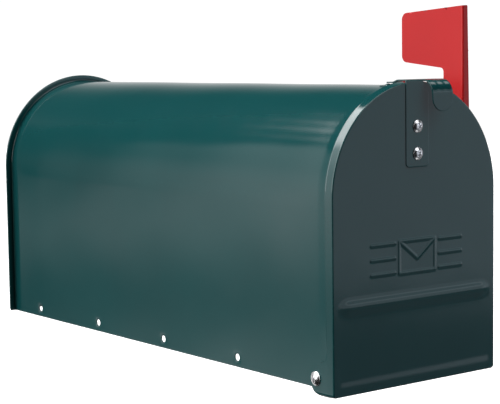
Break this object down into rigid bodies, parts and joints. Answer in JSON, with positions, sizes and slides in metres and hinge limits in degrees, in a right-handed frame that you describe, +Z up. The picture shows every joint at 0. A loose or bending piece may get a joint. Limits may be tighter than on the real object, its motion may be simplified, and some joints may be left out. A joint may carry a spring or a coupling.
{
  "type": "post mounted mailbox",
  "caption": "Arched sheet-steel mailbox on a post board, with a drop-down front door, a snap latch with a finger pull and a red signal flag on its side.",
  "frame": {"origin": "centre of the mounting-hole pattern, on the floor's underside where the mounting board bears", "axes": "+Z up, +Y from the door to the back, +X to the right of a person facing the door"},
  "size_m": [0.188, 0.508, 0.2982],
  "materials": {
    "green_paint": "semi-gloss dark teal-green powder coat on galvanised sheet",
    "red_paint": "semi-gloss signal red paint on steel sheet",
    "bright_zinc": "bright zinc plate",
    "black_nylon": "moulded nylon"
  },
  "bodies": {
    "body": {"body_shell": "green_paint", "rear_panel": "green_paint", "floor_panel": "green_paint", "roof_catch": "green_paint", "roof_catch_rivets": "green_paint", "hinge_bushes": "black_nylon", "hinge_screws": "bright_zinc", "hinge_washers": "bright_zinc", "hinge_nuts": "bright_zinc", "flag_bush": "black_nylon", "flag_screw": "bright_zinc", "flag_washer": "bright_zinc", "flag_spring_washer": "bright_zinc", "flag_inner_washer": "bright_zinc", "flag_nut": "bright_zinc", "flag_stop_pin": "bright_zinc"},
    "door": {"door_panel": "green_paint", "door_latch": "green_paint", "latch_screws": "bright_zinc", "latch_lock_washers": "bright_zinc", "latch_nuts": "bright_zinc"},
    "flag": {"flag": "red_paint"}
  },
  "joints": [
    {"name": "door_hinge", "type": "hinge", "parent": "body", "child": "door", "pos_m": [0, -0.2645, -0.012], "axis": [1, 0, 0], "range_deg": [0, 100]},
    {"name": "flag_pivot", "type": "hinge", "parent": "body", "child": "flag", "pos_m": [0.0895, -0.2359, 0.11], "axis": [-1, 0, 0], "range_deg": [0, 90]}
  ]
}
